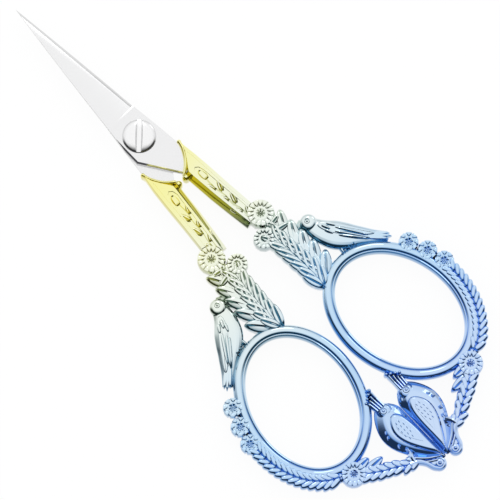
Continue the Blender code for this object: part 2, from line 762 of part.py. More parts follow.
def finish(piece, materials, collection):
    piece.location = (0, PIVOT_Y, 0)
    piece.data.materials.clear()
    for material in materials:
        piece.data.materials.append(material)
    piece.data.shade_smooth()
    piece.data.set_sharp_from_angle(angle=math.radians(35))
    for holder in list(piece.users_collection):
        holder.objects.unlink(piece)
    collection.objects.link(piece)


def main():
    clear_scene()
    scissors = bpy.data.collections.new("embroidery_scissors")
    bpy.context.scene.collection.children.link(scissors)
    steel = metal("satin_steel", STEEL, 0.28)
    plate = metal("plated_casting", BLUE_PLATE, 0.15)
    screw_steel = metal("screw_steel", SCREW_STEEL, 0.22)
    front_blade = make_front_blade()
    front_handle = make_front_handle()
    finish(front_blade, [steel], scissors)
    finish(front_handle, [plate], scissors)
    finish(turned_over("rear_blade", front_blade), [steel], scissors)
    finish(turned_over("rear_handle", front_handle), [plate], scissors)
    finish(make_screw(), [screw_steel], scissors)


main()
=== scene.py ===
"""Looks of the closed embroidery scissors: plated bird-and-flower handles, ground blades and a domed screw."""

import math

import bmesh
import bpy
from mathutils import Matrix, Vector


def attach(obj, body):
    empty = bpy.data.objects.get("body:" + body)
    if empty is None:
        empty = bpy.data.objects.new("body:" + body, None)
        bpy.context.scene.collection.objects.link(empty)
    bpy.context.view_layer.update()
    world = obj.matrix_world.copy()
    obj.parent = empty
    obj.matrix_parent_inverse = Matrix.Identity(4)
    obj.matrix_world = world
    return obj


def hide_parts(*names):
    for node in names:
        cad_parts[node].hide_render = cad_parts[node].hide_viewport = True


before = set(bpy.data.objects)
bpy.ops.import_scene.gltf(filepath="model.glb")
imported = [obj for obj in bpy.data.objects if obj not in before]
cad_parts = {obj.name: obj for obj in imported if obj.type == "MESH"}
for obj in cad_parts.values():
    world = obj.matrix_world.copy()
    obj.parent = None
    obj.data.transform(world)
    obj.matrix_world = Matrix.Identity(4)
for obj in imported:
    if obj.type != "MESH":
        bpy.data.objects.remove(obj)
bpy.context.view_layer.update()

# Every place below is in millimetres from the pivot, +Y to the tips, +X to the front bow, Z from the middle plane
MM = 0.001
PIVOT = Vector((0, 27.8, 2.4))
ROW_FROM_PIVOT = Matrix.Diagonal((MM, MM, MM, 1)) @ Matrix.Translation(PIVOT)
TURN_OVER = Matrix.Rotation(math.pi, 4, "Y")

# Heights of the relief, from the back of the casting to its front
CASTING_HEIGHT = 4.8
LEAF_HEIGHT = 4.3
BIRD_HEIGHT = 3.9
BOW_HEIGHT = 3.6

BOW_CENTRE = Vector((13.745, -63.0))
BOW_HALF_WIDTH = 11.75
BOW_HALF_LENGTH = 15.7
BOW_LEAN = math.radians(12)
BOW_BAND = 2.5
BOW_STATIONS = 168
# The fine rim inside the bow: its middle, out from the middle line of the bow's band, and its half width
RIM_PLACE = -0.92
RIM_HALF_WIDTH = 0.44

BIG_DAISY = (6.95, -28.9)
SMALL_DAISY = (3.8, -33.25)
LOWER_DAISY = (16.5, -80.9)
BLOSSOMS = ((24.85, -54.1), (26.45, -58.0), (27.45, -61.9))
BLOSSOM_RADIUS = 2.1

# Corners closer than this are one, and a face whose normal has this much Z is flat
WELD_GAP = 1e-4
FLAT = 0.9

# Folds sharper than these, in degrees, stay sharp in the shading
CAST_CREASE = 32
BLADE_CREASE = 20
SCREW_CREASE = 30

# The side toward which faces get painted shade in the plating's and the steel's colour, and where the room is darkest
SHADE_SIDE = Vector((-0.69, -0.72, 0)).normalized()


# Work bench


def take(*pieces):
    """Selects only these pieces, the first one active."""
    bpy.ops.object.select_all(action="DESELECT")
    for piece in pieces:
        piece.select_set(True)
    bpy.context.view_layer.objects.active = pieces[0]


def apply_all(piece):
    """Applies the modifiers of a piece, in their order."""
    take(piece)
    for step in list(piece.modifiers):
        bpy.ops.object.modifier_apply(modifier=step.name)


def joined(name, pieces):
    """One piece made of all of them, under a new name."""
    take(*pieces)
    if len(pieces) > 1:
        bpy.ops.object.join()
    made = bpy.context.view_layer.objects.active
    made.name = name
    return made


def copied(piece, change):
    """A copy with its own mesh, moved by the matrix change."""
    made = piece.copy()
    made.data = piece.data.copy()
    made.data.transform(change)
    bpy.context.scene.collection.objects.link(made)
    return made


def discard(*pieces):
    for piece in pieces:
        bpy.data.objects.remove(piece, do_unlink=True)


def clear_selection(kind):
    """Unselects every corner, edge and face of the active piece, for faces or edges to be picked by rule."""
    bpy.ops.object.mode_set(mode="EDIT")
    bpy.ops.mesh.select_mode(type=kind)
    bpy.ops.mesh.select_all(action="DESELECT")
    bpy.ops.object.mode_set(mode="OBJECT")


def weld():
    """Makes one corner of those of the active piece that lie together, and turns its faces outward."""
    bpy.ops.object.mode_set(mode="EDIT")
    bpy.ops.mesh.select_all(action="SELECT")
    bpy.ops.mesh.remove_doubles(threshold=WELD_GAP)
    bpy.ops.mesh.normals_make_consistent(inside=False)
    bpy.ops.object.mode_set(mode="OBJECT")


def press(piece, half_height, relief, crown):
    """Presses a piece until its full height is relief. A crown under 1 flattens its top and steepens its sides."""
    for corner in piece.data.vertices:
        share = min(abs(corner.co.z) / half_height, 1)
        corner.co.z = math.copysign(share**crown * relief / 2, corner.co.z)


def smooth_path(stations, steps=6, closed=False):
    """A finer row of stations on one smooth line through the given ones."""
    fine = []
    count = len(stations)
    for number in range(count if closed else count - 1):
        if closed:
            a, b, c, d = (Vector(stations[(number + k) % count]) for k in (-1, 0, 1, 2))
        else:
            a, b, c, d = (Vector(stations[min(max(number + k, 0), count - 1)]) for k in (-1, 0, 1, 2))
        for step in range(steps):
            t = step / steps
            point = b * 2 + (c - a) * t + (a * 2 - b * 5 + c * 4 - d) * t**2 + (b * 3 - a - c * 3 + d) * t**3
            fine.append(point / 2)
    if not closed:
        fine.append(Vector(stations[-1]))
    return fine


def wire(name, stations, relief, sides=12, closed=False, smooth=True, crown=1.0, z=0.0):
    """A wire through (x, y, half width) stations, pressed until its full height is relief where it is widest."""
    bpy.ops.curve.primitive_bezier_curve_add()
    drawn = bpy.context.object
    drawn.name = name
    drawn.data.splines.clear()
    points = smooth_path(stations) if smooth else stations
    widest = max(point[2] for point in points)
    line = drawn.data.splines.new("POLY")
    line.points.add(len(points) - 1)
    line.use_cyclic_u = closed
    for knot, (x, y, width) in zip(line.points, points):
        knot.co = (x, y, 0, 1)
        knot.radius = max(width, 0.01) / widest
    drawn.data.twist_mode = "Z_UP"
    drawn.data.bevel_depth = widest
    drawn.data.bevel_resolution = (sides - 4) // 2
    drawn.data.use_fill_caps = not closed
    bpy.ops.object.convert(target="MESH")
    weld()
    made = bpy.context.object
    press(made, widest, relief, crown)
    made.data.transform(Matrix.Translation((0, 0, z)))
    return made


def ball(name, x, y, half_width, relief, z=0.0, segments=16, rings=10, crown=1.0):
    """A ball pressed to a full height of relief, its middle at (x, y, z)."""
    bpy.ops.mesh.primitive_uv_sphere_add(segments=segments, ring_count=rings, radius=half_width)
    made = bpy.context.object
    made.name = name
    press(made, half_width, relief, crown)
    made.data.transform(Matrix.Translation((x, y, z)))
    return made


def plate(name, outline, bottom, top, steps=1):
    """An outline of (x, y) corners, a smooth line through them if steps is over 1, extruded from bottom to top."""
    corners = smooth_path(outline, steps, closed=True) if steps > 1 else outline
    bpy.ops.mesh.primitive_circle_add(vertices=len(corners), radius=1, fill_type="NGON")
    made = bpy.context.object
    made.name = name
    for corner, (x, y) in zip(made.data.vertices, corners):
        corner.co = (x, y, bottom)
    bpy.ops.object.mode_set(mode="EDIT")
    bpy.ops.mesh.select_all(action="SELECT")
    bpy.ops.mesh.extrude_region_move(TRANSFORM_OT_translate={"value": (0, 0, top - bottom)})
    bpy.ops.mesh.select_all(action="SELECT")
    bpy.ops.mesh.normals_make_consistent(inside=False)
    bpy.ops.object.mode_set(mode="OBJECT")
    return made


def drafted(name, foot, brow, waist, top):
    """A plate with the outline foot up to waist, both ways, that draws in to the outline brow at top."""
    made = plate(name, foot, -waist, waist)
    for side in (-1, 1):
        clear_selection("FACE")
        for face in made.data.polygons:
            face.select = face.normal.z * side > FLAT
        bpy.ops.object.mode_set(mode="EDIT")
        bpy.ops.mesh.extrude_region_move(TRANSFORM_OT_translate={"value": (0, 0, side * (top - waist))})
        bpy.ops.object.mode_set(mode="OBJECT")
    for corner in made.data.vertices:
        if abs(corner.co.z) > (waist + top) / 2:
            spot = min(range(len(foot)), key=lambda number: (Vector(foot[number]) - corner.co.xy).length)
            corner.co.x, corner.co.y = brow[spot]
    return made


def rim_rounded(piece, width, segments=3):
    """Rounds the rims of the flat faces of a plate."""
    take(piece)
    clear_selection("EDGE")
    flat = [face for face in piece.data.polygons if abs(face.normal.z) > FLAT]
    rims = {key for face in flat for key in face.edge_keys}
    for edge in piece.data.edges:
        edge.select = edge.key in rims
    bpy.ops.object.mode_set(mode="EDIT")
    bpy.ops.mesh.bevel(offset=width, segments=segments, profile=0.5, clamp_overlap=False)
    bpy.ops.object.mode_set(mode="OBJECT")
    return piece


def cut(piece, cutter):
    """Cuts a piece with another, which is used up."""
    step = piece.modifiers.new("cut", "BOOLEAN")
    step.operation = "DIFFERENCE"
    step.solver = "EXACT"
    step.object = cutter
    apply_all(piece)
    discard(cutter)


def rounded_edges(piece, width, angle):
    """Rounds the edges of a piece whose faces meet at more than angle, in degrees."""
    step = piece.modifiers.new("rounding", "BEVEL")
    step.width = width
    step.segments = 2
    step.limit_method = "ANGLE"
    step.angle_limit = math.radians(angle)
    apply_all(piece)


def add_skin(piece, grain):
    """A modifier that gives a piece one new skin of faces as small as grain."""
    skin = piece.modifiers.new("skin", "REMESH")
    skin.mode = "VOXEL"
    skin.voxel_size = grain


def melted(name, pieces, grain, passes):
    """Pieces run together as molten metal would: one skin, with softened joins."""
    made = joined(name, pieces)
    add_skin(made, grain)
    soften = made.modifiers.new("soften", "SMOOTH")
    soften.factor = 0.5
    soften.iterations = passes
    apply_all(made)
    return made


def pillow(name, outline, relief, shoulder, rim):
    """A plate that swells from rim, a share of its relief, to its full relief at shoulder in from the outline."""
    corners = smooth_path(outline, 4, closed=True)
    made = plate(name, corners, -1, 1)
    add_skin(made, grain=0.11)
    apply_all(made)
    sides = [(a, b - a) for a, b in zip(corners, corners[1:] + corners[:1])]
    for corner in made.data.vertices:
        spot = corner.co.xy
        shares = [min(max((spot - a).dot(way) / way.length_squared, 0), 1) for a, way in sides]
        depth = min((spot - a - way * share).length for (a, way), share in zip(sides, shares))
        swell = math.sin(min(depth / shoulder, 1) * math.pi / 2)
        corner.co.z *= relief / 2 * (rim + (1 - rim) * swell)
    return made


def circle(x, y, radius, count):
    """The (x, y) corners of a round outline."""
    turns = [2 * math.pi * step / count for step in range(count)]
    return [(x + radius * math.cos(turn), y + radius * math.sin(turn)) for turn in turns]


def way_at(degrees):
    """The direction at an angle from +X."""
    angle = math.radians(degrees)
    return Vector((math.cos(angle), math.sin(angle)))


def ring_place(degrees, out):
    """(x, y) at an angle round the bow, out from the middle line of its band."""
    angle = math.radians(degrees)
    reach = Vector(((BOW_HALF_WIDTH + out) * math.cos(angle), (BOW_HALF_LENGTH + out) * math.sin(angle)))
    reach.rotate(Matrix.Rotation(BOW_LEAN, 2))
    return BOW_CENTRE + reach


# Leaves, petals and feathers, each modelled once and planted many times


def blade_form(name, root_power, tip_power, dome, midrib, segments, rings, root_height=0.78):
    """A pointed cushion on both faces, 1 long on +Y from the origin, 1 wide and 1 high.

    The powers set how soon it widens from its root and from its tip. A dome near 0 has a flat top and steep flanks,
    and midrib is the depth of the crease along its middle. Its height at the root is root_height of that at the tip.
    """
    midrib_half_width, end_power = 0.22, 6
    turn = (math.radians(-90), 0, 0)
    bpy.ops.mesh.primitive_uv_sphere_add(segments=segments, ring_count=rings, radius=1, rotation=turn)
    bpy.ops.object.transform_apply(rotation=True)
    made = bpy.context.object
    made.name = name
    broadest = root_power / (root_power + tip_power)
    full = broadest**root_power * (1 - broadest) ** tip_power
    for corner in made.data.vertices:
        x, y, z = corner.co
        ring = math.sqrt(max(1 - y * y, 0))
        t = (y + 1) / 2
        if ring < 1e-4:
            corner.co = (0, round(t), 0)
            continue
        across = x / ring
        half = t**root_power * (1 - t) ** tip_power / full / 2
        crown = math.copysign(abs(z / ring) ** dome, z)
        rise = (root_height + (1 - root_height) * t) * (1 - abs(2 * t - 1) ** end_power) ** 0.5 / 2
        dip = 1 - midrib * max(0, 1 - abs(across) / midrib_half_width)
        corner.co = (across * half, t, crown * rise * dip)
    return made


def planted(form, root, degrees, length, width, height, tilt=0.0):
    """A copy of a form from its root, pointing degrees from +X, both its faces tilted sideways by tilt."""
    turn = Matrix.Rotation(math.radians(degrees - 90), 4, "Z")
    size = Matrix.Diagonal((width, length, height, 1))
    made = copied(form, Matrix.Identity(4))
    fall = 2 * math.tan(math.radians(tilt)) * width / height
    for corner in made.data.vertices:
        corner.co.z *= 1 - fall * corner.co.x
    made.data.transform(Matrix.Translation((root[0], root[1], 0)) @ turn @ size)
    return made


def along(path, t):
    """(point, heading in degrees) at share t of the way along a row of (x, y) points."""
    spans = [(b - a).length for a, b in zip(path, path[1:])]
    left = t * sum(spans)
    for (a, b), span in zip(zip(path, path[1:]), spans):
        if left <= span:
            break
        left -= span
    way = (b - a) / span
    return a + way * min(left, span), math.degrees(math.atan2(way.y, way.x))


def leafy_row(name, form, path, pairs, lean, lengths, widths, height, stem_width, tilt, sides=(-1, 1)):
    """A stem with pairs of leaves, or leaves on one side. lengths and widths go from the root's to the end's."""
    stem_share = 0.84
    bent = smooth_path(path)
    pieces = [wire(name, [(*point, stem_width / 2) for point in bent], height * stem_share, smooth=False)]
    for pair in range(pairs):
        t = pair / pairs
        root, heading = along(bent, t)
        length = lengths[0] + (lengths[1] - lengths[0]) * t
        width = widths[0] + (widths[1] - widths[0]) * t
        for side in sides:
            pieces.append(planted(form, root, heading + side * lean, length, width, height, -side * tilt))
    return joined(name, pieces)


leaf = blade_form("leaf", 0.60, 0.70, dome=0.13, midrib=0.12, segments=24, rings=12)
petal = blade_form("petal", 0.80, 0.20, dome=0.17, midrib=0.0, segments=14, rings=8)
leaflet = blade_form("leaflet", 0.50, 0.55, dome=0.26, midrib=0.0, segments=16, rings=12)
feather = blade_form("feather", 0.40, 0.60, dome=0.55, midrib=0.05, segments=12, rings=10)
quill = blade_form("quill", 0.40, 0.60, dome=0.30, midrib=0.0, segments=14, rings=12, root_height=0.96)


# Pieces of the front handle


def bow():
    """The finger ring, with the fine rim inside it."""
    turns = [360 * step / BOW_STATIONS for step in range(BOW_STATIONS)]
    inset = 0.1
    band = [(*ring_place(turn, inset), BOW_BAND / 2 - inset) for turn in turns]
    rim = [(*ring_place(turn, RIM_PLACE), RIM_HALF_WIDTH) for turn in turns]
    return joined("bow", [
        wire("bow", band, BOW_HEIGHT, sides=28, closed=True, smooth=False, crown=0.72),
        wire("rim", rim, BOW_HEIGHT - 0.45, sides=16, closed=True, smooth=False, crown=0.7),
    ])


def shank():
    """The tapering bar with its flared collar, drafted inner side, raised border and sunk panel."""
    foot = [(5.3, -6.9), (5.85, -10.5), (6.2, -14.0), (6.65, -20.0), (7.1, -25.0), (7.35, -28.4), (3.0, -29.2),
            (2.4, -25.0), (1.75, -20.0), (1.2, -14.0), (1.1, -12.3), (2.3, -11.5), (3.5, -10.3), (4.6, -8.6)]
    brow = [(5.15, -7.2), (5.6, -10.5), (5.95, -14.0), (6.4, -20.0), (6.85, -25.0), (7.1, -28.3), (4.05, -29.0),
            (3.5, -25.0), (2.9, -20.0), (2.3, -14.0), (2.2, -12.6), (2.75, -11.7), (3.6, -10.5), (4.65, -8.8)]
    half = CASTING_HEIGHT / 2
    bar = drafted("shank", foot, brow, 0.5, half)
    panel = [(2.75, -14.4), (3.1, -17.0), (3.45, -20.0), (4.0, -25.0), (4.45, -28.3), (6.05, -28.3), (5.75, -25.0),
             (5.25, -20.0), (4.9, -16.4), (4.72, -14.4), (4.35, -13.2), (3.7, -12.7), (3.05, -13.2)]
    groove = [(4.9, -9.4), (5.3, -14.0), (5.72, -20.0), (6.17, -25.0), (6.45, -28.4), (6.28, -28.4), (5.98, -25.0),
              (5.53, -20.0), (5.12, -14.0), (4.72, -9.4)]
    seat = circle(*BIG_DAISY, 2.8, 32)
    for face in (-half, half):
        for name, outline, depth in (("panel", panel, 0.75), ("groove", groove, 0.2), ("seat", seat, 0.8)):
            cut(bar, plate(name, outline, face - depth, face + depth))
    rounded_edges(bar, 0.08, angle=28)
    return bar


def collar_rim():
    """The raised lip of the slanting mouth, and its end bead."""
    mouth = [(5.1, -6.45, 0.42), (4.75, -7.9, 0.46), (3.75, -9.75, 0.46), (2.5, -11.2, 0.46), (1.15, -12.2, 0.45)]
    lip = wire("lip", mouth, 4.95, crown=0.45)
    bead = ball("bead", 1.05, -12.9, 0.85, 4.6, crown=0.6)
    cup = ball("cup", 5.1, -6.5, 0.52, 4.8, crown=0.5)
    return melted("collar_rim", [lip, bead, cup], grain=0.07, passes=4)


def panel_vine():
    """The bud and the leaves of the sunk panel, on both faces."""
    height = CASTING_HEIGHT + 0.05
    tilt = 9
    pieces = [planted(feather, (4.05, -16.6), 95, 3.2, 1.9, height, tilt=-7)]
    for x, y, degrees, length, width in (
        (3.8, -19.4, 112, 2.9, 1.1), (4.3, -20.6, 68, 3.6, 1.25), (4.25, -22.8, 118, 2.6, 1.2),
        (4.7, -24.4, 74, 3.4, 1.2), (4.6, -26.6, 122, 3.2, 1.3), (5.0, -28.0, 66, 3.0, 1.2),
    ):
        pieces.append(planted(leaf, (x, y), degrees, length, width, height, -tilt if degrees > 90 else tilt))
    vine = [(3.9, -16.0), (3.85, -18.4), (4.3, -21.0), (4.35, -23.4), (4.8, -25.6), (4.95, -28.0)]
    pieces.append(wire("vine", [(*point, 0.2) for point in vine], height - 0.25, sides=8))
    return joined("panel_vine", pieces)


def daisy(name, x, y, radius, petals):
    """A ring of broad petals, and an eye of small stamens in a sunk ring."""
    height = CASTING_HEIGHT + 0.2
    bed_half = height / 2 * 0.80
    pit_depth = 1.2
    stamens = 8
    centre = Vector((x, y))
    bed = plate(name, circle(x, y, radius * 0.93, 48), -bed_half, bed_half)
    rim_rounded(bed, 0.35)
    for face in (-height / 2, height / 2):
        cut(bed, plate("ring", circle(x, y, radius * 0.33, 24), face - pit_depth, face + pit_depth))
    pieces = [bed]
    for number in range(petals):
        degrees = 360 * number / petals
        root = centre + way_at(degrees) * radius * 0.29
        pieces.append(planted(petal, root, degrees, radius * 0.72, radius * 7.3 / petals, height * 0.98))
    for number in range(stamens):
        degrees = 360 * number / stamens
        root = centre + way_at(degrees) * radius * 0.08
        pieces.append(planted(feather, root, degrees, radius * 0.27, radius * 0.13, height))
    pieces.append(ball("eye", x, y, radius * 0.12, height, segments=14, rings=8))
    return joined(name, pieces)


def blossom(name, x, y, radius):
    """A small full flower: two rings of round petals and a bead."""
    centre = Vector((x, y))
    bed_half = 1.75
    rings = ((0.30, 0.70, 0.62, 4.2, 8, 0.0), (0.04, 0.44, 0.36, 4.7, 6, 0.5))
    pieces = [rim_rounded(plate(name, circle(x, y, radius * 0.88, 32), -bed_half, bed_half), 0.3)]
    for reach, length, width, height, count, turn in rings:
        for number in range(count):
            degrees = 360 * (number + turn) / count
            root = centre + way_at(degrees) * radius * reach
            pieces.append(planted(petal, root, degrees, radius * length, radius * width, height))
    pieces.append(ball("bead", x, y, radius * 0.14, 4.85, segments=12, rings=8))
    return joined(name, pieces)


def sprigs():
    """Two upright ferns side by side on a web between the flowers and the bow, with leaves and buds above them."""
    web_half = 1.8
    web = [(3.9, -35.4), (4.0, -38.0), (4.2, -41.0), (4.6, -44.0), (5.2, -46.6), (6.0, -48.5), (7.4, -47.7),
           (8.4, -46.9), (9.2, -45.2), (9.6, -42.0), (9.7, -38.0), (9.6, -35.0), (8.8, -32.6), (5.5, -31.6)]
    inner = [(6.0, -49.2), (6.2, -46.4), (6.15, -43.0), (5.95, -39.5), (5.7, -36.2), (5.55, -34.4)]
    outer = [(7.5, -48.0), (7.9, -45.5), (8.0, -41.5), (7.95, -37.5), (7.85, -33.5), (7.8, -32.2)]
    pieces = [
        rim_rounded(plate("sprigs", web, -web_half, web_half, steps=4), 0.5),
        leafy_row("broad_leaves", leaf, outer, pairs=5, lean=30, lengths=(6.2, 5.0), widths=(2.6, 2.2),
                  height=LEAF_HEIGHT, stem_width=0.5, tilt=14, sides=(-1,)),
        leafy_row("outer_fern", leaf, outer, pairs=7, lean=23, lengths=(5.2, 4.4), widths=(1.9, 1.7),
                  height=LEAF_HEIGHT + 0.1, stem_width=0.5, tilt=3, sides=(1,)),
        leafy_row("inner_fern", leaf, inner, pairs=7, lean=24, lengths=(5.6, 4.8), widths=(2.1, 1.9),
                  height=LEAF_HEIGHT + 0.3, stem_width=0.5, tilt=3),
    ]
    for x, y, degrees, length in ((6.0, -33.6, -12, 3.9), (6.2, -32.2, 8, 3.5)):
        pieces.append(planted(leaf, (x, y), degrees, length, 1.5, CASTING_HEIGHT - 0.1, tilt=9))
    for x, y in ((5.1, -30.6), (5.9, -31.3), (6.5, -32.1), (4.6, -30.0)):
        pieces.append(ball("bud", x, y, 0.48, CASTING_HEIGHT + 0.05, crown=0.7))
    return joined("sprigs", pieces)


def garland():
    """The double row of leaves that runs down the outer side of the bow."""
    path = [ring_place(degrees, 1.55) for degrees in range(-84, -9, 6)]
    bed = [(*ring_place(degrees, 1.5), 1.2) for degrees in range(-90, -3, 3)]
    return joined("garland", [
        wire("garland", bed, 2.9, smooth=False, crown=0.6),
        leafy_row("garland_leaves", leaflet, path, pairs=14, lean=29, lengths=(3.4, 3.1), widths=(1.45, 1.3),
                  height=LEAF_HEIGHT, stem_width=0.5, tilt=9),
    ])


def eyes(x, y, radius, z):
    """A round eye in a thin ring, on both faces."""
    pieces = []
    for face in (-1, 1):
        pieces.append(ball("eye", x, y, radius, radius * 1.6, z=face * z, segments=12, rings=8))
        lid = [(*point, radius * 0.4) for point in circle(x, y, 1.9 * radius, 18)]
        pieces.append(wire("lid", lid, radius * 1.2, sides=8, closed=True, smooth=False, z=face * z))
    return pieces


def shoulder_bird():
    """The bird perched on the shoulder of the bow, its beak in the leaves."""
    spine = [(12.5, -35.6, 0.6), (12.75, -36.6, 1.5), (12.95, -38.3, 2.0), (13.65, -40.3, 2.55), (15.0, -42.5, 3.0),
             (16.8, -44.6, 2.75), (18.6, -46.3, 2.1), (20.6, -48.3, 1.5), (22.7, -50.2, 1.05)]
    body = wire("bird", spine, BIRD_HEIGHT - 0.2, sides=24, crown=0.62)
    head = ball("head", 12.8, -36.95, 1.75, BIRD_HEIGHT - 0.15, segments=28, rings=16, crown=0.36)
    beak = wire("beak", [(12.0, -36.0, 1.0), (10.7, -36.3, 0.75), (9.95, -36.8, 0.45), (9.6, -37.7, 0.12)], 2.5)
    legs = [
        wire("leg", [(13.9, -43.6, 0.5), (13.9, -45.0, 0.4), (13.8, -46.9, 0.5)], 2.4),
        wire("leg", [(15.7, -44.4, 0.5), (15.7, -45.6, 0.4), (15.9, -47.0, 0.5)], 2.4),
    ]
    skin = melted("shoulder_bird", [body, head, beak, *legs], grain=0.08, passes=7)
    wing_outline = [(13.7, -38.6), (14.7, -38.7), (15.9, -40.0), (17.6, -42.3), (19.4, -44.9), (21.0, -47.4),
                    (20.7, -48.0), (18.9, -46.6), (16.9, -44.6), (15.2, -42.7), (14.1, -40.9), (13.6, -39.5)]
    wing_half = 1.95
    wing = rim_rounded(plate("wing", wing_outline, -wing_half, wing_half, steps=4), 0.3, segments=4)
    feathers = [
        (15.4, -40.6, -57.0, 8.6, 0.95), (14.7, -41.2, -54.0, 9.0, 0.95), (14.9, -42.6, -50.5, 7.4, 0.85),
        (14.1, -39.0, -66.0, 2.6, 1.05), (15.0, -39.4, -56.0, 2.6, 1.0), (14.0, -40.2, -68.0, 2.4, 0.9),
    ]
    quills = [planted(quill, (x, y), degrees, length, width, 4.6, tilt=9) for x, y, degrees, length, width in feathers]
    tail = [
        planted(feather, (17.8, -45.6), degrees, length, 1.25, 4.1, tilt=8)
        for degrees, length in ((-38, 7.2), (-43, 7.6), (-48, 7.0))
    ]
    claws = [
        wire("claw", [(x, -46.4, 0.26), (x + 0.1, -47.3, 0.16)], 3.8, sides=8, crown=0.4)
        for x in (13.2, 13.8, 14.4, 15.3, 15.9, 16.5)
    ]
    return joined("shoulder_bird", [skin, wing, *quills, *tail, *claws, *eyes(12.7, -36.65, 0.27, 1.98)])


def love_bird():
    """The bird that meets its twin breast to breast along the closing line."""
    outline = [(0.04, -90.6), (0.04, -86.0), (0.04, -82.0), (0.04, -78.6), (0.12, -77.0), (0.8, -75.7), (1.7, -74.7),
               (2.8, -74.1), (4.2, -74.3), (5.4, -75.3), (6.5, -77.0), (7.25, -79.0), (7.4, -81.0), (6.9, -83.2),
               (5.7, -85.6), (4.3, -87.7), (2.8, -89.6), (1.2, -90.9)]
    body = pillow("love_bird", outline, 3.85, 2.9, rim=0.3)
    beak = wire("beak", [(2.3, -75.9, 0.9), (1.3, -76.5, 0.6), (0.5, -77.9, 0.2)], 3.4, crown=0.6)
    head = ball("head", 3.0, -75.95, 1.75, 4.1, segments=24, rings=14, crown=0.55)
    leg = wire("leg", [(5.0, -84.6, 0.6), (5.3, -86.2, 0.55), (5.5, -88.0, 0.7)], 3.2)
    skin = melted("love_bird", [body, beak, head, leg], grain=0.08, passes=4)
    wing_outline = [(0.5, -90.0), (0.42, -86.0), (0.45, -82.5), (0.75, -79.8), (1.5, -78.0), (2.6, -77.3), (3.8, -77.9),
                    (4.85, -79.6), (5.1, -81.6), (4.5, -83.9), (3.2, -86.4), (1.6, -88.9)]
    middle = Vector((2.75, -80.9))
    pieces = [skin]
    for scale, relief, shoulder in ((1.0, 4.62, 0.8), (0.62, 4.7, 0.4)):
        tier = [middle + (Vector(corner) - middle) * scale for corner in wing_outline]
        pieces.append(pillow("wing", tier, relief, shoulder, rim=0.7))
    pitch = 0.72
    for y, count in ((-79.0, 2), (-80.0, 3), (-81.0, 3), (-82.0, 3), (-83.0, 2)):
        for number in range(count):
            x = middle.x + (number - (count - 1) / 2) * pitch
            pieces.append(planted(quill, (x, y), -80, 1.0, 0.4, 4.98, tilt=12))
    for x, y, degrees in ((5.7, -78.9, -50), (6.1, -79.9, -56), (5.9, -82.6, -80), (5.3, -84.2, -96)):
        pieces.append(planted(quill, (x, y), degrees, 1.1, 0.5, 3.9, tilt=10))
    for foot, top, bead in ((2.45, 2.5, 2.4), (3.0, 3.2, 3.15), (3.55, 3.9, 3.95), (4.1, 4.55, 4.7)):
        drop = (top - 2.5) * 0.75
        strand = [(foot, -75.0, 0.42), ((foot + top) / 2, -73.0, 0.33), (top, -71.3 - drop, 0.42)]
        pieces.append(wire("strand", strand, 4.2, crown=0.35))
        pieces.append(ball("bead", bead, -70.7 - drop, 0.52, 4.4, segments=14, crown=0.6))
    return joined("love_bird", [*pieces, *eyes(3.2, -75.75, 0.33, 2.0)])


def lower_spray():
    """The two leaves under the lower flower, the leafy stem and the scroll that ends the handle."""
    stem = [(4.6, -87.7), (6.8, -87.2), (9.2, -85.9), (11.6, -84.6), (14.4, -82.8)]
    under = [(4.6, -87.7, 0.9), (7.0, -87.1, 1.05), (9.4, -85.7, 1.25), (12.0, -84.0, 1.4), (15.0, -82.4, 1.5)]
    bed = wire("lower_spray", under, 3.2, crown=0.6)
    row = leafy_row("stem_leaves", leaflet, stem, pairs=7, lean=27, lengths=(3.0, 3.6), widths=(1.4, 1.6),
                    height=LEAF_HEIGHT, stem_width=0.6, tilt=9)
    leaves = [
        planted(leaf, (16.4, -80.6), 180, 4.6, 2.1, LEAF_HEIGHT),
        planted(leaf, (15.4, -82.3), 180.5, 5.8, 2.2, LEAF_HEIGHT - 0.15),
    ]
    centre = Vector((2.2, -91.25))
    coil = [(6.8, -87.3, 0.8), (5.2, -88.1, 0.7), (4.2, -89.5, 0.58), (3.72, -91.0, 0.55)]
    for step in range(1, 12):
        place = centre + way_at(-28 * step) * (1.16 - 0.03 * step)
        coil.append((*place, 0.52 - 0.01 * step))
    return joined("lower_spray", [
        bed, row, *leaves,
        wire("scroll", coil, 4.1, crown=0.5),
        wire("strand", [(5.2, -87.2, 0.5), (3.4, -88.9, 0.42), (1.2, -90.3, 0.4)], 3.9, crown=0.5),
        wire("strand", [(5.6, -88.0, 0.5), (3.9, -89.4, 0.42), (2.1, -90.5, 0.4)], 3.6, crown=0.5),
        ball("scroll_ball", centre.x, centre.y, 0.62, 4.3),
        ball("scroll_core", centre.x, centre.y, 1.2, 3.2, crown=0.4),
        ball("scroll_web", 2.95, -90.35, 1.0, 2.9, crown=0.4),
        wire("cuff", [(4.9, -85.4, 0.55), (5.6, -86.6, 0.75), (5.9, -88.3, 0.6)], 4.3, crown=0.7),
    ])


# Steel pieces


